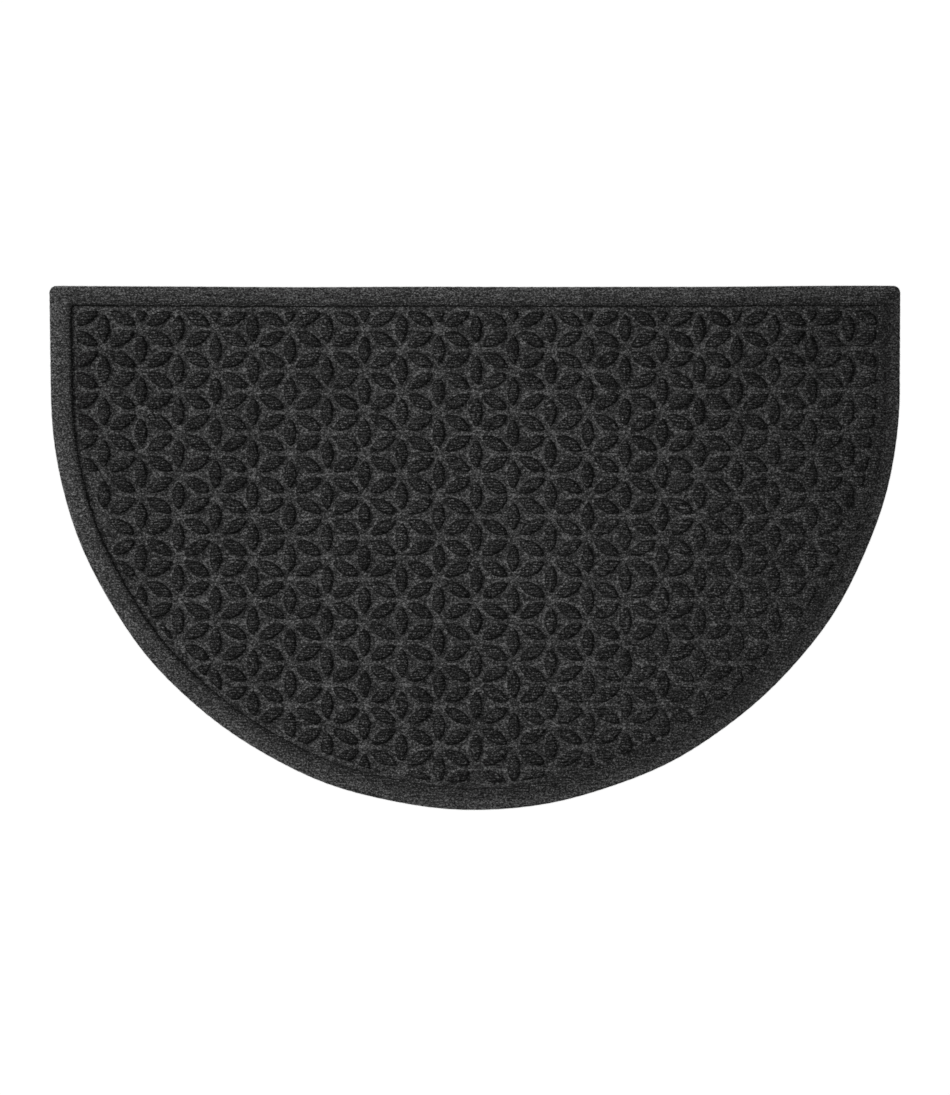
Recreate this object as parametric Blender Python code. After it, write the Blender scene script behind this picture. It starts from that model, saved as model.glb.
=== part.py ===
"""Half round doormat: one moulded sheet with a raised border and a field of raised petals.

The underside is flat on z = 0. The straight edge faces +Y and the round edge faces -Y.
Lengths are in metres.
"""

import math

import bmesh
import bpy
from mathutils import Vector
from mathutils.geometry import delaunay_2d_cdt, intersect_line_line_2d

INCH = 0.0254

# Outline: a half circle under two short sides, which spread a little up to a straight edge
WIDTH = 39 * INCH
DEPTH = 24 * INCH
SIDE_SPREAD = 0.0005
ROUND_RADIUS = WIDTH / 2 - SIDE_SPREAD
STRAIGHT_EDGE_Y = DEPTH / 2
SIDE_LENGTH = 0.1139
ROUND_CENTRE = Vector((0, STRAIGHT_EDGE_Y - SIDE_LENGTH))
CORNER_RADIUS = 0.008
INNER_CORNER_RADIUS = 0.0025

# Heights of the ground and of the petals above the floor
GROUND_HEIGHT = 0.0060
PETAL_HEIGHT = 0.0090

# Widths in from the outer edge, of the raised border and of the strip without petals, whose line lies a little
# to the right and up
BORDER_ON_STRAIGHT = 0.0234
BORDER_ON_ROUND = 0.0262
PLAIN_ON_STRAIGHT = 0.0302
PLAIN_ON_ROUND = 0.0295
PLAIN_SHIFT = Vector((0.0018, 0.0015))

# The border's section, from its inner wall out to the edge and down to the floor
BORDER_SECTION = (
    # share of its width in from the edge, height
    (0.97, 0.0078),
    (0.85, 0.0090),
    (0.50, 0.0068),
    (0.18, 0.0046),
    (0.02, 0.0031),
    (0.00, 0.0012),
    (0.03, 0.0000),
)

# The repeat: star centres in columns and rows, and one petal between each two neighbours
COLUMN_PITCH = 0.0433
ROW_PITCH = 0.04867
STAR_CENTRE = Vector((0.0015, -0.0116))
STAR_GAP = 0.0159
PETAL_WIDTH = 0.0150
RIDGE_SHARE = 0.40
SHOULDER_SHARE = 0.38
SHOULDER_FULLNESS = 0.95
SMALLEST_CUT_ON_STRAIGHT = 20e-6
SMALLEST_CUT_ON_ROUND = 105e-6
SHORTEST_RIDGE = 0.006
CLIP_REACH = 0.110

# How far the repeat drifts from even: the ends of the rows up, the top and bottom rows down, the lower right out
ROW_END_BOW = 0.0012
ROW_DROP = 0.0009
LOWER_RIGHT_DRIFT = 0.0050

# How the edges wander from even
ROUND_WANDER = (
    # waves round the half circle, size, share of a wave before the first crest
    (1.5, 0.00025, 0.01),
    (3.0, 0.00028, 0.44),
    (7.0, 0.00042, 0.36),
    (11.5, 0.00025, 0.03),
)
STRAIGHT_WANDER = (
    # waves along the edge, size, share of a wave before the first crest
    (1.0, 0.00060, 0.04),
    (2.0, 0.00036, 0.05),
    (4.0, 0.00014, 0.30),
)

# Steps along each stretch of the outline
STRAIGHT_STEPS = 16
CORNER_STEPS = 3
SIDE_STEPS = 3
ROUND_STEPS = 58

MERGE_DISTANCE = 0.00001

PILE_GREY = 0.030
PILE_ROUGHNESS = 0.95


def clear_scene():
    """Remove every object of the scene."""
    for old in list(bpy.data.objects):
        bpy.data.objects.remove(old, do_unlink=True)


def waves(terms, share):
    """The sum of a table's waves at a share of the way along."""
    return sum(size * math.cos(2 * math.pi * (count * share - start)) for count, size, start in terms)


def wandered(point):
    """Where the uneven edge of a real mat puts a point of the even shape."""
    if point.y < ROUND_CENTRE.y:
        outward = (point - ROUND_CENTRE).normalized()
        return point + outward * waves(ROUND_WANDER, math.atan2(-outward.y, outward.x) / math.pi)
    rise = min(1, (point.y - ROUND_CENTRE.y) / (STRAIGHT_EDGE_Y - CORNER_RADIUS - ROUND_CENTRE.y))
    share = (ROUND_RADIUS - point.x) / (2 * ROUND_RADIUS)
    right = (1 - rise) * waves(ROUND_WANDER, 0) + rise * SIDE_SPREAD
    left = (1 - rise) * waves(ROUND_WANDER, 1) + rise * SIDE_SPREAD
    return point + Vector(((1 - share) * right - share * left, rise * waves(STRAIGHT_WANDER, share)))


def line(start, end, steps):
    """Points from a start up to an end, without the end."""
    return [start.lerp(end, step / steps) for step in range(steps)]


def arc(centre, radius, first_degrees, last_degrees, steps):
    """Points round an arc, without its last one."""
    turn = last_degrees - first_degrees
    angles = [math.radians(first_degrees + turn * step / steps) for step in range(steps)]
    return [centre + radius * Vector((math.cos(a), math.sin(a))) for a in angles]


def ring(in_from_straight, in_from_round):
    """The outline set in by one distance at the straight edge and another elsewhere, anticlockwise."""
    radius = ROUND_RADIUS - in_from_round
    top = STRAIGHT_EDGE_Y - in_from_straight
    corner = max(CORNER_RADIUS - in_from_round, INNER_CORNER_RADIUS)
    left, right = ROUND_CENTRE.x - radius, ROUND_CENTRE.x + radius
    left_corner = Vector((left + corner, top - corner))
    right_corner = Vector((right - corner, top - corner))
    points = line(Vector((right_corner.x, top)), Vector((left_corner.x, top)), STRAIGHT_STEPS)
    points += arc(left_corner, corner, 90, 180, CORNER_STEPS)
    points += line(Vector((left, left_corner.y)), Vector((left, ROUND_CENTRE.y)), SIDE_STEPS)
    points += arc(ROUND_CENTRE, radius, 180, 360, ROUND_STEPS)
    points += line(Vector((right, ROUND_CENTRE.y)), Vector((right, right_corner.y)), SIDE_STEPS)
    points += arc(right_corner, corner, 0, 90, CORNER_STEPS)
    return [wandered(point) for point in points]


def drifted(point):
    """Where the real mat's slightly stretched repeat puts a point of the even one."""
    across, rise = 2 * point.x / WIDTH, 2 * point.y / DEPTH
    up = ROW_END_BOW * across**2 - ROW_DROP * rise**2
    return point + Vector((LOWER_RIGHT_DRIFT * max(0, across) * max(0, -rise), up))


def star_lines():
    """The line between each two neighbouring star centres that may reach the mat, as (start, end)."""
    columns = math.ceil(WIDTH / 2 / COLUMN_PITCH) + 1
    rows = math.ceil(DEPTH / 2 / ROW_PITCH) + 1
    for column in range(-columns, columns + 1):
        for row in range(-rows, rows + 1):
            half_step = 0.5 * (column % 2)
            star = STAR_CENTRE + Vector((column * COLUMN_PITCH, (row + half_step) * ROW_PITCH))
            for right, up in ((0, 1), (1, 0.5), (1, -0.5)):
                yield star, star + Vector((right * COLUMN_PITCH, up * ROW_PITCH))


def petal_outline(tips):
    """The six corners round a petal: its tips and two shoulders on each side."""
    middle = (tips[0] + tips[1]) / 2
    along = (tips[1] - tips[0]) / 2
    across = Vector((-along.y, along.x)).normalized() * PETAL_WIDTH / 2 * SHOULDER_FULLNESS
    shoulder = along * SHOULDER_SHARE
    corners = (along, shoulder + across, across - shoulder, -along, -shoulder - across, shoulder - across)
    return [middle + corner for corner in corners]


def beyond_edge(point):
    """Whether a point is outside the even shape of the mat."""
    below_sides = point.y < ROUND_CENTRE.y and (point - ROUND_CENTRE).length > ROUND_RADIUS
    return below_sides or abs(point.x) > ROUND_RADIUS or point.y > STRAIGHT_EDGE_Y


def clipped(polygon, boundary):
    """The part of a convex polygon inside the near stretch of a boundary. Both run anticlockwise."""
    kept = list(polygon)
    for start, end in zip(boundary, boundary[1:] + boundary[:1]):
        if (start - polygon[0]).length > CLIP_REACH:
            continue
        inward = Vector((start.y - end.y, end.x - start.x))
        depths = [inward.dot(corner - start) for corner in kept]
        if min(depths, default=0) >= 0:
            continue
        sides = zip(kept, depths, kept[1:] + kept[:1], depths[1:] + depths[:1])
        kept = []
        for corner, depth, following, depth_after in sides:
            if depth >= 0:
                kept.append(corner)
            if (depth >= 0) != (depth_after >= 0):
                kept.append(corner.lerp(following, depth / (depth - depth_after)))
    return kept


def area_of(polygon):
    """The area of a flat polygon, which is 0 for fewer than three corners."""
    pairs = zip(polygon, polygon[1:] + polygon[:1])
    return abs(sum(a.cross(b) for a, b in pairs)) / 2


def ridge_of(base, tips):
    """The ends of the ridge over a petal's base, or its one peak where little of the axis is left."""
    sides = zip(base, base[1:] + base[:1])
    hits = [intersect_line_line_2d(*tips, start, end) for start, end in sides]
    axis = tips[1] - tips[0]
    crossed = sorted((hit for hit in hits if hit), key=axis.dot)
    if not crossed or (crossed[-1] - crossed[0]).length < SHORTEST_RIDGE:
        return [sum(base, Vector((0, 0))) / len(base)]
    middle = (crossed[0] + crossed[-1]) / 2
    return [middle.lerp(crossed[0], RIDGE_SHARE), middle.lerp(crossed[-1], RIDGE_SHARE)]


def petals(boundary):
    """Each petal inside a boundary, cut off where it crosses it, as (base corners, ends of its ridge)."""
    for start, end in star_lines():
        middle = (start + end) / 2
        if beyond_edge(middle):
            continue
        tip_share = STAR_GAP / 2 / (end - start).length
        shift = drifted(middle) - middle
        tips = (start.lerp(end, tip_share) + shift, end.lerp(start, tip_share) + shift)
        base = clipped(petal_outline(tips), boundary)
        smallest = SMALLEST_CUT_ON_STRAIGHT if middle.y > ROUND_CENTRE.y else SMALLEST_CUT_ON_ROUND
        if area_of(base) > smallest:
            yield base, ridge_of(base, tips)


def add_field(bm, rim_line):
    """The ground and its petals as one sheet inside a line. It returns the sheet's rim, in order."""
    rim = range(len(rim_line))
    points = list(rim_line)
    heights = [GROUND_HEIGHT] * len(points)
    edges = [(i, (i + 1) % len(rim)) for i in rim]
    plain_line = [point + PLAIN_SHIFT for point in ring(PLAIN_ON_STRAIGHT, PLAIN_ON_ROUND)]
    for base, ridge in petals(plain_line):
        corners = list(range(len(points), len(points) + len(base)))
        edges += zip(corners, corners[1:] + corners[:1])
        if len(ridge) > 1:
            edges.append((corners[-1] + 1, corners[-1] + 2))
        points += base + ridge
        heights += [GROUND_HEIGHT] * len(base) + [PETAL_HEIGHT] * len(ridge)
    flat, _, triangles, sources, _, _ = delaunay_2d_cdt(points, edges, [], 1, MERGE_DISTANCE)
    placed = [bm.verts.new((p.x, p.y, heights[source[0]])) for p, source in zip(flat, sources)]
    for triangle in triangles:
        bm.faces.new([placed[i] for i in triangle])
    vertex_of = {point: vertex for vertex, found in zip(placed, sources) for point in found}
    return [vertex_of[i] for i in rim]


def add_band(bm, rim, outline, height):
    """A band of faces from a rim out to the next outline of the border, which becomes the new rim."""
    outer = [bm.verts.new((p.x, p.y, height)) for p in outline]
    sides = zip(rim, outer, outer[1:] + outer[:1], rim[1:] + rim[:1])
    for corners in sides:
        bm.faces.new(corners)
    return outer


def mat_mesh():
    """The whole mat, with the box of its outline centred on the origin."""
    bm = bmesh.new()
    rim = add_field(bm, ring(BORDER_ON_STRAIGHT, BORDER_ON_ROUND))
    for share, height in BORDER_SECTION:
        outline = ring(share * BORDER_ON_STRAIGHT, share * BORDER_ON_ROUND)
        rim = add_band(bm, rim, outline, height)
    bm.faces.new(rim[::-1])
    bmesh.ops.recalc_face_normals(bm, faces=bm.faces)
    bmesh.ops.triangulate(bm, faces=[face for face in bm.faces if len(face.verts) > 3])
    middle_x = (min(v.co.x for v in bm.verts) + max(v.co.x for v in bm.verts)) / 2
    middle_y = (min(v.co.y for v in bm.verts) + max(v.co.y for v in bm.verts)) / 2
    bmesh.ops.translate(bm, vec=(-middle_x, -middle_y, 0), verts=bm.verts)
    mesh = bpy.data.meshes.new("mat")
    bm.to_mesh(mesh)
    bm.free()
    return mesh


def charcoal_pile():
    """The mat's one material."""
    material = bpy.data.materials.new("charcoal pile")
    material.use_nodes = True
    shader = material.node_tree.nodes["Principled BSDF"]
    shader.inputs["Base Color"].default_value = (PILE_GREY, PILE_GREY, PILE_GREY, 1)
    shader.inputs["Roughness"].default_value = PILE_ROUGHNESS
    shader.inputs["Metallic"].default_value = 0
    return material


def main():
    """Build the mat in its own collection."""
    clear_scene()
    collection = bpy.data.collections.new("half_round_doormat")
    bpy.context.scene.collection.children.link(collection)
    mat = bpy.data.objects.new("mat", mat_mesh())
    mat.data.materials.append(charcoal_pile())
    collection.objects.link(mat)


main()
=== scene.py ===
"""Looks of the half round doormat: moulded charcoal pile on a pale floor, in soft studio light.

The mat is one closed skin. Its border is a section carried along the outline, each petal is a set of rings
carried round its middle, and the ground is triangulated between them. Lengths are in metres.
"""

import logging
import math
from dataclasses import dataclass
from enum import Enum
from typing import Any, Sequence

import bpy
import numpy as np
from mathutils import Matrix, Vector
from mathutils.geometry import delaunay_2d_cdt


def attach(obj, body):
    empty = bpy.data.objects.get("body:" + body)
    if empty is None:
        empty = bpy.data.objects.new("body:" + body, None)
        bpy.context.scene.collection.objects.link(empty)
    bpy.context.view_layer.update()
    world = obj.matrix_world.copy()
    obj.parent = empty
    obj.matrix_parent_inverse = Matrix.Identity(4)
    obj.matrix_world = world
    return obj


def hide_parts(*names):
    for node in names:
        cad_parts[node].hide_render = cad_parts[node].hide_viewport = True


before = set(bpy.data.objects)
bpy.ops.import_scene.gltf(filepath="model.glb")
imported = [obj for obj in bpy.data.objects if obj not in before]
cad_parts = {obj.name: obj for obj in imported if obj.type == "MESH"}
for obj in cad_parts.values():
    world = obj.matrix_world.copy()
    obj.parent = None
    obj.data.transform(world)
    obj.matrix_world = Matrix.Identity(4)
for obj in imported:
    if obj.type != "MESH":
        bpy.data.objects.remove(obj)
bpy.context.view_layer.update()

INCH = 0.0254
GROUND_HEIGHT = 0.0060
LOG = logging.getLogger("doormat")

# What delaunay_2d_cdt is asked for: all the triangles inside its lines
INSIDE_LINES = 1

# The colour sockets of a Mix node by their places
MIX_SHARE, MIX_FIRST, MIX_SECOND, MIX_RESULT = 0, 6, 7, 2


@dataclass(frozen=True)
class Wave:
    """One wave of an uneven edge.

    Attributes:
        count: How many of it run along the edge.
        size: Its height.
        start: The part of one wave before its first crest.
    """

    count: float
    size: float
    start: float


ROUND_WANDER = (
    Wave(1.5, 0.00025, 0.01),
    Wave(3.0, 0.00028, 0.44),
    Wave(7.0, 0.00042, 0.36),
    Wave(11.5, 0.00025, 0.03),
)
STRAIGHT_WANDER = (
    Wave(1.0, 0.00060, 0.04),
    Wave(2.0, 0.00036, 0.05),
    Wave(4.0, 0.00014, 0.30),
)
TUFT_WANDER = (
    Wave(141.0, 0.00016, 0.20),
    Wave(227.0, 0.00020, 0.70),
    Wave(318.0, 0.00014, 0.45),
)


def waved(waves: Sequence[Wave], share: np.ndarray) -> np.ndarray:
    """The sum of some waves: each is its size times the cosine of a full turn for every wave passed.

    Args:
        waves: The waves to add up.
        share: How far along the edge each point is, from 0 to 1.

    Returns:
        The height of the edge at each point.
    """
    turns = [wave.size * np.cos(2 * np.pi * (wave.count * share - wave.start)) for wave in waves]
    return np.sum(turns, axis=0)


def lined(start: Sequence[float], end: Sequence[float], steps: int) -> np.ndarray:
    """Points at even steps along a straight line, without its end.

    Args:
        start: The first point.
        end: The point that the line leads to.
        steps: How many points there are.

    Returns:
        The points, one a row.
    """
    share = np.arange(steps)[:, None] / steps
    return (1 - share) * np.asarray(start) + share * np.asarray(end)


def arced(centre: Sequence[float], radius: float, first: float, last: float, steps: int) -> np.ndarray:
    """Points at even steps round an arc, without its last: the centre plus the radius along each angle.

    Args:
        centre: The arc's centre.
        radius: Its radius.
        first: The angle of its first point, in degrees.
        last: The angle that it leads to, in degrees.
        steps: How many points there are.

    Returns:
        The points, one a row.
    """
    angles = np.radians(first + (last - first) * np.arange(steps) / steps)
    return np.asarray(centre) + radius * np.stack([np.cos(angles), np.sin(angles)], 1)


@dataclass(frozen=True)
class Outline:
    """The mat's outline: a half circle under two short sides and a straight edge, a little uneven."""

    width: float = 39 * INCH
    depth: float = 24 * INCH
    side_spread: float = 0.0005
    side_length: float = 0.1139
    corner_radius: float = 0.008
    inner_corner_radius: float = 0.0025
    straight_steps: int = 190
    corner_steps: int = 6
    side_steps: int = 24
    round_steps: int = 300

    @property
    def radius(self) -> float:
        """The half circle's radius."""
        return self.width / 2 - self.side_spread

    @property
    def straight_y(self) -> float:
        """Where the straight edge is."""
        return self.depth / 2

    @property
    def centre(self) -> np.ndarray:
        """The half circle's centre."""
        return np.array([0.0, self.straight_y - self.side_length])

    def wandered(self, points: np.ndarray) -> np.ndarray:
        """Where the uneven edge puts points of the even shape.

        Below the centre a point moves along its radius by the round edge's waves. Above it a point moves
        sideways by what is left of them, and up by the straight edge's waves times its share of the rise.

        Args:
            points: Points of the even shape.

        Returns:
            The moved points.
        """
        out = points - self.centre
        out = out / np.linalg.norm(out, axis=-1, keepdims=True)
        turned = np.arctan2(-out[..., 1], out[..., 0]) / np.pi
        on_round = points + out * waved(ROUND_WANDER, turned)[..., None]
        rise_length = self.side_length - self.corner_radius
        rise = np.clip((points[..., 1] - self.centre[1]) / rise_length, 0, 1)
        share = (self.radius - points[..., 0]) / (2 * self.radius)
        right = (1 - rise) * waved(ROUND_WANDER, np.zeros(1)) + rise * self.side_spread
        left = (1 - rise) * waved(ROUND_WANDER, np.ones(1)) + rise * self.side_spread
        shift = np.stack([(1 - share) * right - share * left, rise * waved(STRAIGHT_WANDER, share)], -1)
        return np.where((points[..., 1] < self.centre[1])[..., None], on_round, points + shift)

    def ring(self, in_from_straight: float, in_from_round: float) -> np.ndarray:
        """The uneven outline, set in by one distance at the straight edge and another elsewhere.

        Args:
            in_from_straight: How far in it is from the straight edge.
            in_from_round: How far in it is from the sides and the round edge.

        Returns:
            Its points, anticlockwise from the right end of the straight edge.
        """
        radius = self.radius - in_from_round
        top = self.straight_y - in_from_straight
        corner = max(self.corner_radius - in_from_round, self.inner_corner_radius)
        left_corner = (corner - radius, top - corner)
        right_corner = (radius - corner, top - corner)
        stretches = (
            lined((right_corner[0], top), (left_corner[0], top), self.straight_steps),
            arced(left_corner, corner, 90, 180, self.corner_steps),
            lined((-radius, left_corner[1]), (-radius, self.centre[1]), self.side_steps),
            arced(self.centre, radius, 180, 360, self.round_steps),
            lined((radius, self.centre[1]), (radius, right_corner[1]), self.side_steps),
            arced(right_corner, corner, 0, 90, self.corner_steps),
        )
        return self.wandered(np.concatenate(stretches))

    def depth_in(self, points: np.ndarray) -> np.ndarray:
        """How far in points are from the even outline, by its nearest edge: less than nothing outside.

        Args:
            points: The points to measure.

        Returns:
            The distance of each point.
        """
        below = points[..., 1] < self.centre[1]
        from_middle = np.where(below, np.linalg.norm(points - self.centre, axis=-1), np.abs(points[..., 0]))
        return np.minimum(self.radius - from_middle, self.straight_y - points[..., 1])


@dataclass(frozen=True)
class Skin:
    """A part of the mat's surface.

    Attributes:
        points: Its points, one a row.
        faces: Lists of its faces' corners.
        marks: What the finish reads at each point, by name.
    """

    points: np.ndarray
    faces: list[list[int]]
    marks: dict[str, np.ndarray]


@dataclass(frozen=True)
class Border:
    """The raised border: it slopes up from a low lip to a crest and drops by a steep wall to the ground."""

    outline: Outline
    on_straight: float = 0.0234
    on_round: float = 0.0262
    # How far in from the edge the painted light along the outer rim reaches
    painted_rim_light_width: float = 0.0180

    # The section from the ground outwards. Each row gives the share of the border's width in from the edge,
    # the height, the tuft wobble, how dark the pile is from the ground's (0) to the petals' (1), and how
    # much painted shade darkens it in a crease: at the foot of the inner wall and under the outer lip
    section: tuple[tuple[float, float, float, float, float], ...] = (
        (1.016, 0.00600, 0.2, 0.1, 0.6),
        (1.008, 0.00602, 0.6, 0.5, 1.0),
        (1.000, 0.00610, 1.0, 0.9, 1.0),
        (0.990, 0.00670, 1.0, 1.2, 1.0),
        (0.976, 0.00790, 1.0, 1.2, 0.5),
        (0.955, 0.00875, 0.8, 1.1, 0.1),
        (0.925, 0.00915, 0.5, 0.95, 0.0),
        (0.880, 0.00930, 0.2, 0.75, 0.0),
        (0.820, 0.00918, 0.0, 0.48, 0.0),
        (0.740, 0.00864, 0.0, 0.35, 0.0),
        (0.640, 0.00755, 0.0, 0.25, 0.0),
        (0.500, 0.00628, 0.0, 0.18, 0.0),
        (0.320, 0.00508, 0.0, 0.12, 0.0),
        (0.180, 0.00435, 0.0, 0.05, 0.0),
        (0.100, 0.00395, 0.0, 0.0, 0.0),
        (0.050, 0.00365, 0.2, 0.0, 0.0),
        (0.020, 0.00310, 0.3, 0.2, 0.0),
        (0.004, 0.00220, 0.4, 0.8, 0.0),
        (0.000, 0.00120, 0.4, 1.0, 0.5),
        (0.010, 0.00035, 0.2, 1.0, 1.0),
        (0.030, 0.00000, 0.0, 1.0, 1.0),
    )

    def build(self) -> tuple[Skin, np.ndarray]:
        """Carry the section along the outline.

        Each point of the section gives one ring: the outline set in by its share of the width, at its
        height. The tufts then move each ring along the line from the inner ring to the edge, by its wobble
        times the tufts' waves.

        Returns:
            The border's skin with its underside, and the indices of the ring that the ground joins.
        """
        shares, heights, wobbles, pile, crease = (np.array(column) for column in zip(*self.section))
        rings = [self.outline.ring(share * self.on_straight, share * self.on_round) for share in shares]
        flat = np.stack(rings)
        count = flat.shape[1]
        outward = self.outline.ring(0, 0) - self.outline.ring(self.on_straight, self.on_round)
        outward /= np.linalg.norm(outward, axis=1, keepdims=True)
        tufts = waved(TUFT_WANDER, np.arange(count) / count)
        flat += wobbles[:, None, None] * tufts[:, None] * outward
        points = np.dstack([flat, np.broadcast_to(heights[:, None], flat.shape[:2])]).reshape(-1, 3)
        ring, along = (index.ravel() for index in np.mgrid[0 : len(shares) - 1, 0:count])
        after = (along + 1) % count
        here, outwards = ring * count, (ring + 1) * count
        corners = np.stack([here + along, outwards + along, outwards + after, here + after], 1)
        underside = np.arange(len(points) - count, len(points))[::-1]
        from_edge = np.repeat(shares * self.on_round, count)
        marks = {
            "pile": np.repeat(pile, count),
            # Painted shade in the creases at the inner wall's foot and under the outer lip
            "crease": np.repeat(crease, count),
            # Painted light along the outer rim: palest at the edge, gone a little way in
            "rim": np.clip(1 - from_edge / self.painted_rim_light_width, 0, 1),
            "tone": np.zeros(len(points)),
            "star": np.zeros(len(points)),
        }
        return Skin(points, corners.tolist() + [underside.tolist()], marks), np.arange(count)


class PetalLine(Enum):
    """The three lines from a star to its neighbours that carry a petal, in column and row pitches."""

    UPRIGHT = (0.0, 1.0)
    RISING = (1.0, 0.5)
    FALLING = (1.0, -0.5)


@dataclass(frozen=True)
class StarRepeat:
    """The repeat of stars in columns and rows, each second column half a row up, a little stretched."""

    column_pitch: float = 0.0433
    row_pitch: float = 0.04867
    star_x: float = 0.0015
    star_y: float = -0.0116
    row_end_bow: float = 0.0012
    row_drop: float = 0.0009
    lower_right_drift: float = 0.0050

    def stars(self, outline: Outline) -> np.ndarray:
        """The even places of the stars on and near the mat.

        Args:
            outline: The mat's outline.

        Returns:
            The stars' centres, one a row.
        """
        across = math.ceil(outline.width / 2 / self.column_pitch) + 1
        up = math.ceil(outline.depth / 2 / self.row_pitch) + 1
        column, row = (index.ravel() for index in np.mgrid[-across : across + 1, -up : up + 1])
        place = np.stack([column * self.column_pitch, (row + 0.5 * (column % 2)) * self.row_pitch], 1)
        return place + (self.star_x, self.star_y)

    def drifted(self, points: np.ndarray, outline: Outline) -> np.ndarray:
        """Where the stretched repeat puts points of the even one.

        The ends of rows move up by the square of their share across, the rows at the top and the bottom move
        down by the square of their share up, and the lower right corner moves right by the product of its
        shares across and down.

        Args:
            points: Points of the even repeat.
            outline: The mat's outline.

        Returns:
            The moved points.
        """
        across, rise = 2 * points[:, 0] / outline.width, 2 * points[:, 1] / outline.depth
        up = self.row_end_bow * across**2 - self.row_drop * rise**2
        right = self.lower_right_drift * np.maximum(0, across) * np.maximum(0, -rise)
        return points + np.stack([right, up], 1)


# Besides the relief, the press paints light and shade: towards the lower right the ground is darker, the
# petals lighter, and the painted crease shade and star light fade
@dataclass(frozen=True)
class Press:
    """How firmly the mould pressed the field: fully, but less and less towards the lower right edge.

    Attributes:
        heading: The direction in which the press gets softer, in degrees.
        starts: How far along it from the half circle's centre this starts.
        ends: How far along it this ends.
        loss: The share of the relief that is lost there.
        painted_blend_pile: The pile's darkness that ground and petals are drawn towards: a painted shade
            that darkens the ground and painted light that lightens the petals towards the lower right.
        strip_depth: How far in from the edge the middle of the painted light strip along the border is; it
            lifts the shade below the border's wall.
        strip_reach: How far from its middle the strip is gone.
        painted_strip_light: How light its middle is, in the stars' painted light.
    """

    heading: float = -30.0
    starts: float = 0.18
    ends: float = 0.43
    loss: float = 0.4
    # Painted shade on the ground and painted light on the petals towards the lower right
    painted_blend_pile: float = 0.85
    strip_depth: float = 0.0300
    strip_reach: float = 0.0055
    # Painted light in the strip along the border
    painted_strip_light: float = 1.6

    def share(self, points: np.ndarray, outline: Outline) -> np.ndarray:
        """The share of the full relief that points have.

        With t the distance from the half circle's centre along the heading, as a share of the way from
        start to end, it is one less the loss times t squared times (3 less 2 t).

        Args:
            points: The points.
            outline: The mat's outline.

        Returns:
            The share at each point.
        """
        turn = math.radians(self.heading)
        distance = (points[..., :2] - outline.centre) @ np.array([math.cos(turn), math.sin(turn)])
        way = np.clip((distance - self.starts) / (self.ends - self.starts), 0, 1)
        return 1 - self.loss * way**2 * (3 - 2 * way)

    def strip(self, points: np.ndarray, outline: Outline) -> np.ndarray:
        """The paler strip of ground along the border, palest at its middle and gone a reach away from it.

        Args:
            points: The points.
            outline: The mat's outline.

        Returns:
            The strip's painted light at each point, in the stars' painted light. It goes where the press is
            softest.
        """
        from_middle = np.abs(outline.depth_in(points[..., :2]) - self.strip_depth)
        near = np.clip(1 - from_middle / self.strip_reach, 0, 1)
        firm = 1 - (1 - self.share(points, outline)) / self.loss
        return self.painted_strip_light * near * firm

    def pile(self, pile: np.ndarray, share: np.ndarray) -> np.ndarray:
        """The pile's darkness, drawn towards the blend by what the share of the relief leaves."""
        # The blend is painted shade and light: the ground darker and the petals lighter where the relief is
        # lost
        return self.painted_blend_pile + (pile - self.painted_blend_pile) * share


@dataclass(frozen=True)
class Lenses:
    """The petals' even shapes.

    Attributes:
        middles: The middle of each lens.
        along: The direction of each, from tip to tip.
        half_lengths: Half the length of each.
        centres: The centre of what the plain line leaves of each, where its rays start.
    """

    middles: np.ndarray
    along: np.ndarray
    half_lengths: np.ndarray
    centres: np.ndarray

    @property
    def across(self) -> np.ndarray:
        """The direction across each."""
        return np.stack([-self.along[:, 1], self.along[:, 0]], 1)


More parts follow.
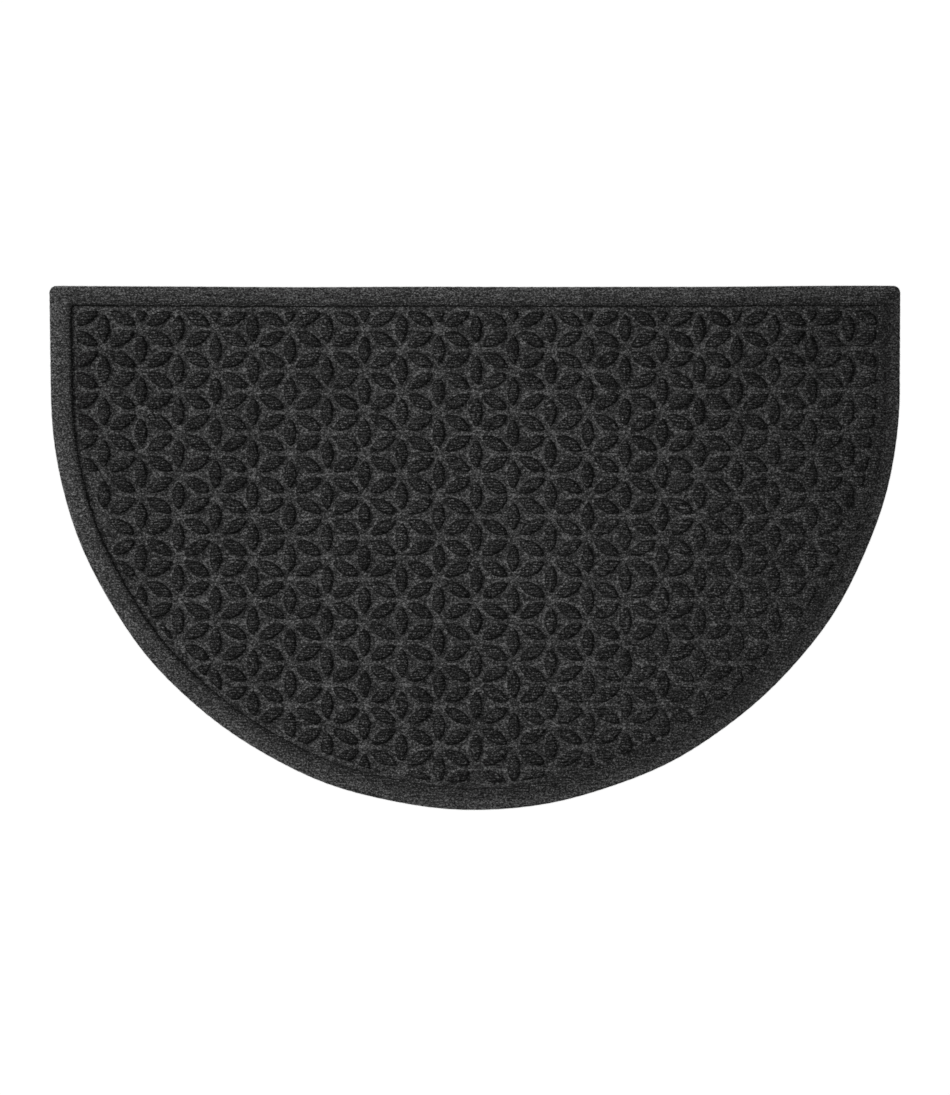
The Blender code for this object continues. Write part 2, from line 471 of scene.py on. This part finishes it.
@dataclass(frozen=True)
class Petals:
    """The raised petals: a lens of two arcs with soft points, steep sides and a slightly domed top.

    Attributes:
        outline: The mat's outline.
        repeat: The repeat that the petals follow.
        press: How firmly the field is pressed.
        star_gap: The gap between two petals that point at one star from opposite sides.
        width: A petal's width.
        plain_on_straight: How far in from the straight edge the plain line is, where petals are cut off.
        plain_on_round: How far in from the sides and the round edge it is.
        plain_shift: How far the plain line is moved off the outline's middle.
        relief: How far the petals stand above the ground.
        rays: The points of one ring.
        sharpness: The power of the soft minimum that rounds the petals' points.
        least_reach: The shortest reach that goes into that minimum.
        spread_share: How far out the points go that find what is left of a petal, as a share of it.
        spread_along: How many of them lie along a petal.
        spread_across: How many of them lie across it.
        smallest_on_straight: The smallest remnant that is kept above the half circle's centre, by its area.
        smallest_on_round: The smallest that is kept below it.
        full_relief_reach: The reach from which a remnant has its full relief.
        deepest_share: The share of its reach that a remnant's rings may be set in.
        shape_waves: How many waves run round a petal.
        shape_jitter: How high each wave is, as a share of the reach.
        height_jitter: How much the petals' relief varies, as a share of it.
        place_jitter: How much their places vary.
        seed: What the random draws start from.
        rings: The rings of a petal from the ground inwards. Each row gives how far in from its foot it is,
        its share of the relief, how dark its pile is from the ground's (0) to the top's (1), and how
        much painted shade darkens it in the crease at its foot.
    """

    outline: Outline
    repeat: StarRepeat
    press: Press
    star_gap: float = 0.0159
    width: float = 0.0150
    plain_on_straight: float = 0.0302
    plain_on_round: float = 0.0295
    plain_shift: tuple[float, float] = (0.0018, 0.0015)
    relief: float = 0.0030
    rays: int = 18
    sharpness: float = 14.0
    least_reach: float = 1e-4
    spread_share: float = 0.95
    spread_along: int = 20
    spread_across: int = 12
    smallest_on_straight: float = 20e-6
    smallest_on_round: float = 105e-6
    full_relief_reach: float = 0.0040
    deepest_share: float = 0.6
    shape_waves: tuple[int, ...] = (2, 3, 4, 5)
    shape_jitter: float = 0.014
    height_jitter: float = 0.05
    place_jitter: float = 0.00020
    seed: int = 11
    rings: tuple[tuple[float, float, float, float], ...] = (
        (-0.0004, 0.00, 0.1, 0.0),
        (0.0000, 0.09, 1.0, 0.5),
        (0.0008, 0.46, 1.35, 0.4),
        (0.0018, 0.76, 1.25, 0.0),
        (0.0036, 0.93, 1.0, 0.0),
    )

    def placed(self) -> tuple[np.ndarray, np.ndarray, np.ndarray]:
        """Where the petals lie: half way along the lines between neighbouring stars.

        Returns:
            Each petal's middle, its direction, and half its length.
        """
        stars = self.repeat.stars(self.outline)
        pitches = np.array([self.repeat.column_pitch, self.repeat.row_pitch])
        spans = np.array([line.value for line in PetalLine]) * pitches
        lengths = np.linalg.norm(spans, axis=1)
        even = (stars[None] + spans[:, None] / 2).reshape(-1, 2)
        which = np.repeat(np.arange(len(spans)), len(stars))
        on_mat = self.outline.depth_in(even) >= 0
        middles = self.repeat.drifted(even[on_mat], self.outline)
        directions = (spans / lengths[:, None])[which[on_mat]]
        return middles, directions, (lengths[which[on_mat]] - self.star_gap) / 2

    def plain_reach(
        self, centres: np.ndarray, rays: np.ndarray, inset: np.ndarray | float
    ) -> list[np.ndarray]:
        """How far rays run to the line where petals are cut off, set in by a distance.

        Below the half circle's centre that line is a circle, where the reach is the root of a square. Above
        it the line is straight, where the reach is the gap to it over the ray's part towards it.

        Args:
            centres: The petals' middles.
            rays: Unit vectors, a row of them for each petal.
            inset: How far in from the line to stop.

        Returns:
            The reach to the round line, to the top line and to the side line.
        """
        places = centres - self.plain_shift
        radius = self.outline.radius - self.plain_on_round - inset
        offset = places[:, None] - self.outline.centre
        above = places[:, 1:] >= self.outline.centre[1]
        on_round = np.where(above, np.inf, reach_in_disc(offset, rays, radius))
        top = self.outline.straight_y - self.plain_on_straight - inset
        to_top = top + waved(STRAIGHT_WANDER, 0.5 - places[:, :1] / self.outline.width) - places[:, 1:]
        to_side = np.where(above, radius - np.abs(places[:, :1]), np.inf)
        side_part = rays[..., 0] * np.sign(places[:, :1])
        with np.errstate(divide="ignore"):
            on_top = np.where(rays[..., 1] > 0, to_top / rays[..., 1], np.inf)
            on_side = np.where(side_part > 0, to_side / side_part, np.inf)
        return [on_round, on_top, on_side]

    def inside_plain(self, points: np.ndarray) -> np.ndarray:
        """Which points are inside the line where petals are cut off.

        Args:
            points: Points, in any number of rows.

        Returns:
            True for each point inside.
        """
        places = points - self.plain_shift
        radius = self.outline.radius - self.plain_on_round
        from_centre = np.linalg.norm(places - self.outline.centre, axis=-1)
        below = places[..., 1] < self.outline.centre[1]
        in_sides = np.where(below, from_centre < radius, np.abs(places[..., 0]) < radius)
        return in_sides & (places[..., 1] < self.outline.straight_y - self.plain_on_straight)

    def trimmed(self) -> Lenses:
        """The petals that are kept, with the centre of what is left of each inside the plain line.

        The centre comes from points spread over the lens. Each weighs one less the square of its share of
        the half length, as the lens is that much narrower there, and nothing outside the line.

        Returns:
            The kept petals' even shapes.
        """
        middles, along, half_lengths = self.placed()
        lenses = Lenses(middles, along, half_lengths, middles)
        half_width, far = self.width / 2, self.spread_share
        steps_along, steps_across = complex(0, self.spread_along), complex(0, self.spread_across)
        u, v = (grid.ravel() for grid in np.mgrid[-far:far:steps_along, -far:far:steps_across])
        spread = u[None, :, None] * (half_lengths[:, None, None] * along[:, None])
        spread = spread + (v * (1 - u**2))[None, :, None] * (half_width * lenses.across[:, None])
        spread = spread + middles[:, None]
        weights = (1 - u**2) * self.inside_plain(spread)
        areas = weights.mean(1) * 4 * half_lengths * half_width
        above = middles[:, 1] > self.outline.centre[1]
        kept = areas > np.where(above, self.smallest_on_straight, self.smallest_on_round)
        centres = (weights[..., None] * spread).sum(1)[kept] / weights.sum(1)[kept, None]
        return Lenses(middles[kept], along[kept], half_lengths[kept], centres)

    def reach(self, lenses: Lenses, rays: np.ndarray, inset: np.ndarray | float) -> np.ndarray:
        """How far rays run from the petals' centres to their edge, set in by a distance.

        It is the soft minimum of the reaches to the two arcs of the lens and to the plain line: the sum of
        their powers of minus the sharpness, to the power of minus one over the sharpness. An arc's radius is
        the half length squared plus the half width squared, over the width, with the half length drawn out
        for what the soft minimum takes from the points.

        Args:
            lenses: The petals' even shapes.
            rays: Unit vectors, a row of them for each petal.
            inset: How far in from the edge to stop.

        Returns:
            The reach of each ray.
        """
        half_width = self.width / 2
        soft_tip = 2 ** (1 / self.sharpness)
        radii = ((lenses.half_lengths * soft_tip) ** 2 + half_width**2) / (2 * half_width)
        side_shift = (radii - half_width)[:, None] * lenses.across
        offsets = [(lenses.centres - lenses.middles + sign * side_shift)[:, None] for sign in (-1, 1)]
        reaches = [reach_in_disc(offset, rays, radii[:, None] - inset) for offset in offsets]
        reaches += self.plain_reach(lenses.centres, rays, inset)
        powers = sum(np.maximum(part, self.least_reach) ** -self.sharpness for part in reaches)
        return powers ** (-1 / self.sharpness)

    def build(self, first_index: int) -> tuple[Skin, np.ndarray]:
        """Carry each petal's rings round its centre.

        A ring's point lies along its ray by the reach, set in by the ring's inset, times a few slow waves.
        Its height is the ground's plus its share of the relief, which is lower on a narrow remnant and
        where the press is soft.

        Args:
            first_index: The index that the petals' first point gets in the whole skin.

        Returns:
            The petals' skin, and the indices of each petal's outermost ring.
        """
        random = np.random.default_rng(self.seed)
        lenses = self.trimmed()
        centres = lenses.centres
        count = len(centres)
        angles = np.arange(self.rays) * 2 * np.pi / self.rays
        stretched_along = lenses.half_lengths[:, None, None] * lenses.along[:, None]
        rays = np.cos(angles)[None, :, None] * stretched_along
        rays = rays + np.sin(angles)[None, :, None] * (self.width / 2) * lenses.across[:, None]
        rays /= np.linalg.norm(rays, axis=-1, keepdims=True)

        smallest = self.reach(lenses, rays, 0.0).min(1)[:, None]
        relief = self.relief * np.minimum(1, smallest / self.full_relief_reach)
        relief *= 1 + self.height_jitter * random.standard_normal((count, 1))
        relief *= self.press.share(centres, self.outline)[:, None]
        waves_round = np.array(self.shape_waves)[:, None, None]
        phases = random.uniform(0, 2 * np.pi, (len(waves_round), count, 1))
        wobble = 1 + self.shape_jitter * np.cos(waves_round * angles + phases).sum(0)
        nudged = centres + self.place_jitter * random.standard_normal((count, 2))
        levels = []
        for inset, share, _, _ in self.rings:
            depth = np.minimum(inset, self.deepest_share * smallest)
            flat = nudged[:, None] + (self.reach(lenses, rays, depth) * wobble)[..., None] * rays
            height = np.broadcast_to(GROUND_HEIGHT + share * relief, flat.shape[:2])
            levels.append(np.dstack([flat, height]))
        rings = np.stack(levels, 1)
        tops = np.concatenate([nudged, GROUND_HEIGHT + relief], 1)
        points = np.concatenate([rings.reshape(count, -1, 3), tops[:, None]], 1).reshape(-1, 3)

        per_petal = len(self.rings) * self.rays + 1
        starts = first_index + np.arange(count)[:, None, None] * per_petal
        quads, fans = self.corners()
        faces = (starts + quads).reshape(-1, 4).tolist() + (starts + fans).reshape(-1, 3).tolist()
        pile = np.append(np.repeat([dark for _, _, dark, _ in self.rings], self.rays), 1.0)
        # Each ring's share of painted shade in the crease at the petal's foot
        crease = np.append(np.repeat([closed for _, _, _, closed in self.rings], self.rays), 0.0)
        tone = np.repeat(random.standard_normal(count), per_petal) * np.tile(pile, count)
        # Towards the lower right the pile is drawn to one level, painted shade on the ground and painted
        # light on the petals, and the painted crease shade fades
        pressed = self.press.share(points, self.outline)
        marks = {
            "pile": self.press.pile(np.tile(pile, count), pressed),
            "crease": np.tile(crease, count) * pressed,
            "rim": np.zeros(len(points)),
            "tone": tone,
            # Painted light in the strip along the border, on the petals' feet
            "star": np.tile(pile < 1, count) * self.press.strip(points, self.outline),
        }
        feet = starts[:, :, 0] + np.arange(self.rays)
        return Skin(points, faces, marks), feet

    def corners(self) -> tuple[np.ndarray, np.ndarray]:
        """The corners of one petal's faces, by the places of its points.

        Returns:
            The four corners of each face between two rings, and the three of each face round the top.
        """
        level, ray = (index.ravel() for index in np.mgrid[0 : len(self.rings) - 1, 0 : self.rays])
        after = (ray + 1) % self.rays
        here, inwards = level * self.rays, (level + 1) * self.rays
        quads = np.stack([here + ray, here + after, inwards + after, inwards + ray], 1)
        last = (len(self.rings) - 1) * self.rays + np.arange(self.rays)
        top = np.full(self.rays, len(self.rings) * self.rays)
        return quads, np.stack([last, np.roll(last, -1), top], 1)


def reach_in_disc(offset: np.ndarray, rays: np.ndarray, radius: np.ndarray | float) -> np.ndarray:
    """How far rays run from a point inside a disc to its rim.

    With b the offset's part along a ray and c the offset squared less the radius squared, the reach is
    minus b plus the root of b squared minus c.

    Args:
        offset: Each start, measured from the disc's centre.
        rays: Unit vectors.
        radius: The disc's radius.

    Returns:
        The reach of each ray.
    """
    part = (offset * rays).sum(-1)
    beyond = (offset**2).sum(-1) - np.asarray(radius) ** 2
    return np.sqrt(np.maximum(part**2 - beyond, 0)) - part


@dataclass(frozen=True)
class Ground:
    """The pressed ground between the border and the petals."""

    outline: Outline
    repeat: StarRepeat
    press: Press
    star_from_plain: float = 0.0020
    merge_distance: float = 1e-7

    def build(self, rim: np.ndarray, feet: np.ndarray, points: np.ndarray, petals: Petals) -> Skin:
        """Triangulate the ground between the border's inner ring, the petals' feet and the stars.

        The lines are the inner ring and the petals' feet. The triangles inside the feet are left out.

        Args:
            rim: The indices of the border's inner ring.
            feet: The indices of each petal's outermost ring.
            points: The points that these indices name.
            petals: The petals, whose plain line keeps the stars off the border.

        Returns:
            The stars' centres as new points, the ground's faces over all the points, and the new marks.
        """
        stars = self.repeat.drifted(self.repeat.stars(self.outline), self.outline)
        step = np.array([self.star_from_plain, 0.0])
        stars = stars[petals.inside_plain(stars - step) & petals.inside_plain(stars + step)]
        used = np.concatenate([rim, feet.ravel(), len(points) + np.arange(len(stars))])
        flat = np.concatenate([points[rim, :2], points[feet.ravel(), :2], stars])
        ring = np.arange(len(rim))
        edges = np.stack([ring, np.roll(ring, -1)], 1).tolist()
        holes = (len(rim) + np.arange(feet.size)).reshape(feet.shape).tolist()
        found, _, triangles, sources, _, owners = delaunay_2d_cdt(
            [Vector(place) for place in flat.tolist()], edges, holes, INSIDE_LINES, self.merge_distance
        )
        if len(found) != len(flat):
            raise ValueError(f"the ground's lines cross: {len(found)} points came of {len(flat)}")
        named = used[np.array([source[0] for source in sources])]
        outside = [triangle for triangle, owner in zip(triangles, owners) if not owner]
        faces = named[np.array(outside)].tolist()
        lifted = np.column_stack([stars, np.full(len(stars), GROUND_HEIGHT)])
        zeros = np.zeros(len(stars))
        # The stars' centres get painted light, fading towards the lower right, where the ground's pile takes
        # the blend's painted shade
        pressed = self.press.share(stars, self.outline)
        pile = self.press.pile(zeros, pressed)
        marks = {"pile": pile, "crease": zeros, "rim": zeros, "tone": zeros, "star": pressed}
        return Skin(lifted, faces, marks)


class Reading:
    """A number that varies over a surface, held as a node's socket. Arithmetic on it adds Math nodes."""

    def __init__(self, bench: "NodeBench", socket: bpy.types.NodeSocket) -> None:
        """Wrap a socket of a bench's node tree."""
        self.bench = bench
        self.socket = socket

    def _math(self, operation: str, *values: Any) -> "Reading":
        """The result of one Math node on some values."""
        inputs = dict(enumerate(values))
        return self.bench.reading("ShaderNodeMath", {"operation": operation}, inputs)

    def __add__(self, other: Any) -> "Reading":
        """This plus another value."""
        return self._math("ADD", self, other)

    def __radd__(self, other: Any) -> "Reading":
        """Another value plus this."""
        return self._math("ADD", other, self)

    def __sub__(self, other: Any) -> "Reading":
        """This less another value."""
        return self._math("SUBTRACT", self, other)

    def __rsub__(self, other: Any) -> "Reading":
        """Another value less this."""
        return self._math("SUBTRACT", other, self)

    def __mul__(self, other: Any) -> "Reading":
        """This times another value."""
        return self._math("MULTIPLY", self, other)

    def __rmul__(self, other: Any) -> "Reading":
        """Another value times this."""
        return self._math("MULTIPLY", other, self)

    def exponential(self) -> "Reading":
        """The number e to the power of this."""
        return self._math("EXPONENT", self)

    def held(self, lowest: float, highest: float) -> "Reading":
        """This, kept between two values."""
        return self._math("MINIMUM", self._math("MAXIMUM", self, lowest), highest)


class NodeBench:
    """Where one material's nodes are made and joined."""

    def __init__(self, name: str) -> None:
        """Start a material with its shader and output."""
        self.material = bpy.data.materials.new(name)
        self.material.use_nodes = True
        self.tree = self.material.node_tree
        self.shader = self.tree.nodes["Principled BSDF"]

    def node(self, kind: str, settings: dict[str, Any], inputs: dict[Any, Any]) -> bpy.types.Node:
        """Add a node.

        Args:
            kind: The node's type.
            settings: Its own settings, set before its sockets.
            inputs: The value, or the socket to link, of each input, by name or place.

        Returns:
            The new node.
        """
        made = self.tree.nodes.new(kind)
        for name, value in settings.items():
            setattr(made, name, value)
        for key, value in inputs.items():
            self.feed(made.inputs[key], value)
        return made

    def feed(self, socket: bpy.types.NodeSocket, value: Any) -> None:
        """Give an input socket a value, or link another socket to it."""
        source = value.socket if isinstance(value, Reading) else value
        if isinstance(source, bpy.types.NodeSocket):
            self.tree.links.new(source, socket)
        else:
            socket.default_value = source

    def reading(
        self, kind: str, settings: dict[str, Any], inputs: dict[Any, Any], output: Any = 0
    ) -> Reading:
        """Add a node and read one of its outputs, by name or place."""
        return Reading(self, self.node(kind, settings, inputs).outputs[output])

    def mark(self, name: str) -> Reading:
        """Read one of the marks on the mesh."""
        return self.reading("ShaderNodeAttribute", {"attribute_name": name}, {}, "Fac")


# The pile also carries painted light along the outer rim, at the stars and along the border, and painted
# shade in the creases
@dataclass(frozen=True)
class CharcoalPile:
    """Heathered charcoal pile: dark and light fibres in flecks, paler on the ground than on the petals."""

    dark_fibre: float = 0.0008
    light_fibre: float = 0.150
    ground_light: float = 0.207
    petal_light: float = 0.090
    # Painted light along the outer rim, in shares of light fibre
    painted_rim_light: float = 0.091
    # Painted light at the stars' centres and in the strip along the border, in shares of light fibre
    painted_star_light: float = 0.025
    # Painted shade in the creases, as the share of light fibre it takes away at full
    crease_painted_shade: float = 0.36
    tone_spread: float = 0.045
    fleck_scale: float = 430.0
    fibre_scale: float = 1100.0
    noise_roughness: float = 0.6
    mottle_scale: float = 14.0
    rib_pitch: float = 0.0031
    rib_bend: float = 14.0
    rib_bend_scale: float = 60.0
    stretch: tuple[float, float, float] = (1.05, 1.30, 1.0)
    streak_scale: float = 420.0
    streak_stretch: tuple[float, float, float] = (0.14, 1.0, 1.0)
    fleck_contrast: float = 6.3
    fibre_contrast: float = 5.4
    streak_contrast: float = 2.2
    petal_contrast: float = 0.16
    rib_contrast: float = 0.45
    mottle_contrast: float = 0.5
    relief_depth: float = 0.0006
    relief_strength: float = 0.55
    fibre_relief: float = 0.6
    rib_relief: float = 0.12
    roughness: float = 0.92
    sheen: float = 0.03
    sheen_roughness: float = 0.5
    specular: float = 0.03

    def material(self) -> bpy.types.Material:
        """The pile's material.

        The share of light fibre starts from what each part of the mat has: its pile, painted light along the
        outer rim, at the stars and in the strip along the border, and painted shade in the creases and
        towards the lower right. The slow mottling and the ribs multiply it, and so does e to the power of
        the grain, which is the sum of flecks, fibres and streaks along the rows. The dark and light fibre
        colours are mixed by the result.

        Returns:
            The material.
        """
        bench = NodeBench("charcoal pile")
        place = bench.node("ShaderNodeTexCoord", {}, {}).outputs["Object"]
        stretched = self.scaled(bench, place, self.stretch)
        fleck = self.noise(bench, stretched, self.fleck_scale, 1.0)
        fibre = self.noise(bench, stretched, self.fibre_scale, 2.0)
        drawn = self.scaled(bench, place, self.streak_stretch)
        streak = self.noise(bench, drawn, self.streak_scale, 1.0)
        mottle = self.noise(bench, place, self.mottle_scale, 2.0)
        bend = self.noise(bench, place, self.rib_bend_scale, 1.0)
        northing = bench.reading("ShaderNodeSeparateXYZ", {}, {"Vector": place}, "Y")
        turns = northing * (2 * math.pi / self.rib_pitch) + bend * self.rib_bend
        rib = bench.reading("ShaderNodeMath", {"operation": "SINE"}, {0: turns})
        pile = bench.mark("pile")
        share = self.ground_light + (self.petal_light - self.ground_light) * pile
        # Painted light: along the outer rim, at the stars' centres and in the strip along the border
        share = share + self.painted_rim_light * bench.mark("rim") + self.painted_star_light * bench.mark("star")
        share = share * (1 + self.tone_spread * bench.mark("tone"))
        # Painted shade in the creases at the feet of walls and under the lip
        share = share * (1 - self.crease_painted_shade * bench.mark("crease"))
        share = share * (1 + self.mottle_contrast * (mottle - 0.5))
        grain = self.fleck_contrast * (fleck - 0.5) + self.fibre_contrast * (fibre - 0.5)
        grain = grain + self.streak_contrast * (streak - 0.5)
        share = share * (grain * (1 + self.petal_contrast * pile)).exponential()
        share = share * (1 + self.rib_contrast * (rib * pile))
        dark = (self.dark_fibre,) * 3 + (1.0,)
        light = (self.light_fibre,) * 3 + (1.0,)
        parts = {MIX_SHARE: share.held(0.0, 1.0), MIX_FIRST: dark, MIX_SECOND: light}
        colour = bench.node("ShaderNodeMix", {"data_type": "RGBA"}, parts)
        bench.feed(bench.shader.inputs["Base Color"], colour.outputs[MIX_RESULT])
        height = fleck + self.fibre_relief * fibre + self.rib_relief * rib * pile
        bump = bench.node(
            "ShaderNodeBump",
            {},
            {"Strength": self.relief_strength, "Distance": self.relief_depth, "Height": height},
        )
        bench.feed(bench.shader.inputs["Normal"], bump.outputs[0])
        bench.feed(bench.shader.inputs["Roughness"], self.roughness)
        bench.feed(bench.shader.inputs["Sheen Weight"], self.sheen)
        bench.feed(bench.shader.inputs["Sheen Roughness"], self.sheen_roughness)
        bench.feed(bench.shader.inputs["Specular IOR Level"], self.specular)
        return bench.material

    def scaled(
        self, bench: NodeBench, place: bpy.types.NodeSocket, factors: tuple[float, float, float]
    ) -> bpy.types.NodeSocket:
        """A place with each of its coordinates times a factor."""
        return bench.node("ShaderNodeMapping", {}, {"Vector": place, "Scale": factors}).outputs[0]

    def noise(self, bench: NodeBench, place: bpy.types.NodeSocket, scale: float, detail: float) -> Reading:
        """Even noise from 0 to 1 at a scale in cells a metre."""
        inputs = {"Vector": place, "Scale": scale, "Detail": detail, "Roughness": self.noise_roughness}
        return bench.reading("ShaderNodeTexNoise", {}, inputs, "Fac")


@dataclass(frozen=True)
class PaleFloor:
    """A plain pale floor."""

    grey: float = 0.82
    roughness: float = 0.9

    def material(self) -> bpy.types.Material:
        """The floor's material."""
        bench = NodeBench("pale floor")
        bench.feed(bench.shader.inputs["Base Color"], (self.grey,) * 3 + (1.0,))
        bench.feed(bench.shader.inputs["Roughness"], self.roughness)
        bench.feed(bench.shader.inputs["Specular IOR Level"], 0.0)
        return bench.material


@dataclass(frozen=True)
class Doormat:
    """The whole mat: one closed skin of pile."""

    outline: Outline = Outline()
    repeat: StarRepeat = StarRepeat()
    press: Press = Press()
    finish: CharcoalPile = CharcoalPile()
    flat_area: float = 0.4986

    def skin(self) -> Skin:
        """Join the border, the petals and the ground, and centre their box on the origin.

        Returns:
            The whole skin.
        """
        border, rim = Border(self.outline).build()
        shapes = Petals(self.outline, self.repeat, self.press)
        petals, feet = shapes.build(len(border.points))
        so_far = np.concatenate([border.points, petals.points])
        ground = Ground(self.outline, self.repeat, self.press).build(rim, feet, so_far, shapes)
        # The border's inner ring takes the blend's painted shade and the strip's painted light
        joint = self.press.share(border.points[rim], self.outline)
        border.marks["pile"][rim] = self.press.pile(border.marks["pile"][rim], joint)
        border.marks["star"][rim] = self.press.strip(border.points[rim], self.outline)
        parts = (border, petals, ground)
        points = np.concatenate([part.points for part in parts])
        middle = (points[:, :2].min(0) + points[:, :2].max(0)) / 2
        points[:, :2] -= middle
        marks = {name: np.concatenate([part.marks[name] for part in parts]) for name in border.marks}
        LOG.info("petals: %d", len(feet))
        return Skin(points, border.faces + petals.faces + ground.faces, marks)

    def build(self) -> bpy.types.Object:
        """Make the mat's mesh, dress it and put it on its body.

        Returns:
            The finished piece.
        """
        skin = self.skin()
        mesh = bpy.data.meshes.new("mat_pile")
        mesh.from_pydata(skin.points.tolist(), [], skin.faces)
        mesh.validate()

        # All faces are smooth but the underside, the one face with more than four corners
        smooth = np.ones(len(mesh.polygons), bool)
        smooth[[face.index for face in mesh.polygons if len(face.vertices) > 4]] = False
        mesh.polygons.foreach_set("use_smooth", smooth)
        for name, values in skin.marks.items():
            mark = mesh.attributes.new(name, "FLOAT", "POINT")
            mark.data.foreach_set("value", values.astype(np.float32))
        mesh.materials.append(self.finish.material())
        mesh.update()
        piece = bpy.data.objects.new("mat_pile", mesh)
        bpy.context.scene.collection.objects.link(piece)
        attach(piece, "root")
        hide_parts("mat")
        return piece


@dataclass(frozen=True)
class Lamp:
    """One soft rectangular studio light that faces the mat."""

    name: str
    azimuth: float
    elevation: float
    distance: float
    width: float
    height: float
    power: float
    aim: tuple[float, float, float] = (0.0, 0.0, 0.0)

    def build(self) -> bpy.types.Object:
        """Hang the light at its angle and distance from where it aims.

        Returns:
            The light.
        """
        data = bpy.data.lights.new(self.name, "AREA")
        data.shape = "RECTANGLE"
        data.size = self.width
        data.size_y = self.height
        data.energy = self.power
        light = bpy.data.objects.new(self.name, data)
        turn, rise = math.radians(self.azimuth), math.radians(self.elevation)
        back = Vector((math.cos(turn) * math.cos(rise), math.sin(turn) * math.cos(rise), math.sin(rise)))
        light.location = Vector(self.aim) + back * self.distance
        light.rotation_euler = (math.pi / 2 - rise, 0, turn + math.pi / 2)
        bpy.context.scene.collection.objects.link(light)
        return light


@dataclass(frozen=True)
class Studio:
    """The pale floor, the lights and the camera."""

    floor_width: float = 120.0
    floor_finish: PaleFloor = PaleFloor()
    key: Lamp = Lamp(
        "key light", azimuth=162.0, elevation=25.0, distance=3.8, width=1.8, height=1.7, power=162.0
    )
    top: Lamp = Lamp(
        "top light", azimuth=0.0, elevation=90.0, distance=0.8, width=0.7, height=0.5, power=4.1,
        aim=(0.04, 0.0, 0.0),
    )
    fill_grey: float = 0.10
    floor_sun: float = 3.6
    floor_sun_angle: float = 60.0
    camera_distance: float = 5.0
    camera_elevation: float = 90.0
    camera_lens: float = 141.30
    camera_sensor: float = 36.0
    camera_aim: tuple[float, float, float] = (0.0002, 0.0003, 0.006)

    def build_floor(self) -> bpy.types.Object:
        """Lay the floor at the mat's underside.

        Returns:
            The floor.
        """
        half = self.floor_width / 2
        corners = [(-half, -half, 0), (half, -half, 0), (half, half, 0), (-half, half, 0)]
        mesh = bpy.data.meshes.new("floor")
        mesh.from_pydata(corners, [], [(0, 1, 2, 3)])
        mesh.materials.append(self.floor_finish.material())
        floor = bpy.data.objects.new("floor", mesh)
        bpy.context.scene.collection.objects.link(floor)
        return floor

    def light(self, floor: bpy.types.Object, mat: bpy.types.Object) -> None:
        """Light the mat from the left and from above, and the floor by an even light of its own.

        Args:
            floor: The floor.
            mat: The mat.
        """
        data = bpy.data.lights.new("floor light", "SUN")
        data.energy = self.floor_sun
        data.angle = math.radians(self.floor_sun_angle)
        sun = bpy.data.objects.new("floor light", data)
        bpy.context.scene.collection.objects.link(sun)
        for lights, lit in (((self.key.build(), self.top.build()), mat), ((sun,), floor)):
            receivers = bpy.data.collections.new(f"{lit.name} only")
            receivers.objects.link(lit)
            for light in lights:
                light.light_linking.receiver_collection = receivers
        world = bpy.data.worlds.new("studio")
        world.use_nodes = True
        world.node_tree.nodes["Background"].inputs["Color"].default_value = (self.fill_grey,) * 3 + (1.0,)
        bpy.context.scene.world = world
        bpy.context.scene.view_settings.view_transform = "Standard"

    def place_camera(self) -> bpy.types.Object:
        """Put the camera straight above the mat, with the straight edge at the top of the picture.

        Returns:
            The camera.
        """
        data = bpy.data.cameras.new("camera")
        data.lens = self.camera_lens
        data.sensor_width = self.camera_sensor
        camera = bpy.data.objects.new("camera", data)
        rise = math.radians(self.camera_elevation)
        back = Vector((0, -math.cos(rise), math.sin(rise)))
        camera.location = Vector(self.camera_aim) + back * self.camera_distance
        camera.rotation_euler = (math.pi / 2 - rise, 0, 0)
        bpy.context.scene.collection.objects.link(camera)
        bpy.context.scene.camera = camera
        return camera


def main() -> None:
    """Build the studio and the mat."""
    logging.basicConfig(level=logging.INFO, format="%(message)s")
    studio = Studio()
    studio.place_camera()
    floor = studio.build_floor()
    piece = Doormat().build()
    studio.light(floor, piece)
    LOG.info("%s: %d points, %d faces", piece.name, len(piece.data.vertices), len(piece.data.polygons))


if __name__ == "__main__":
    main()
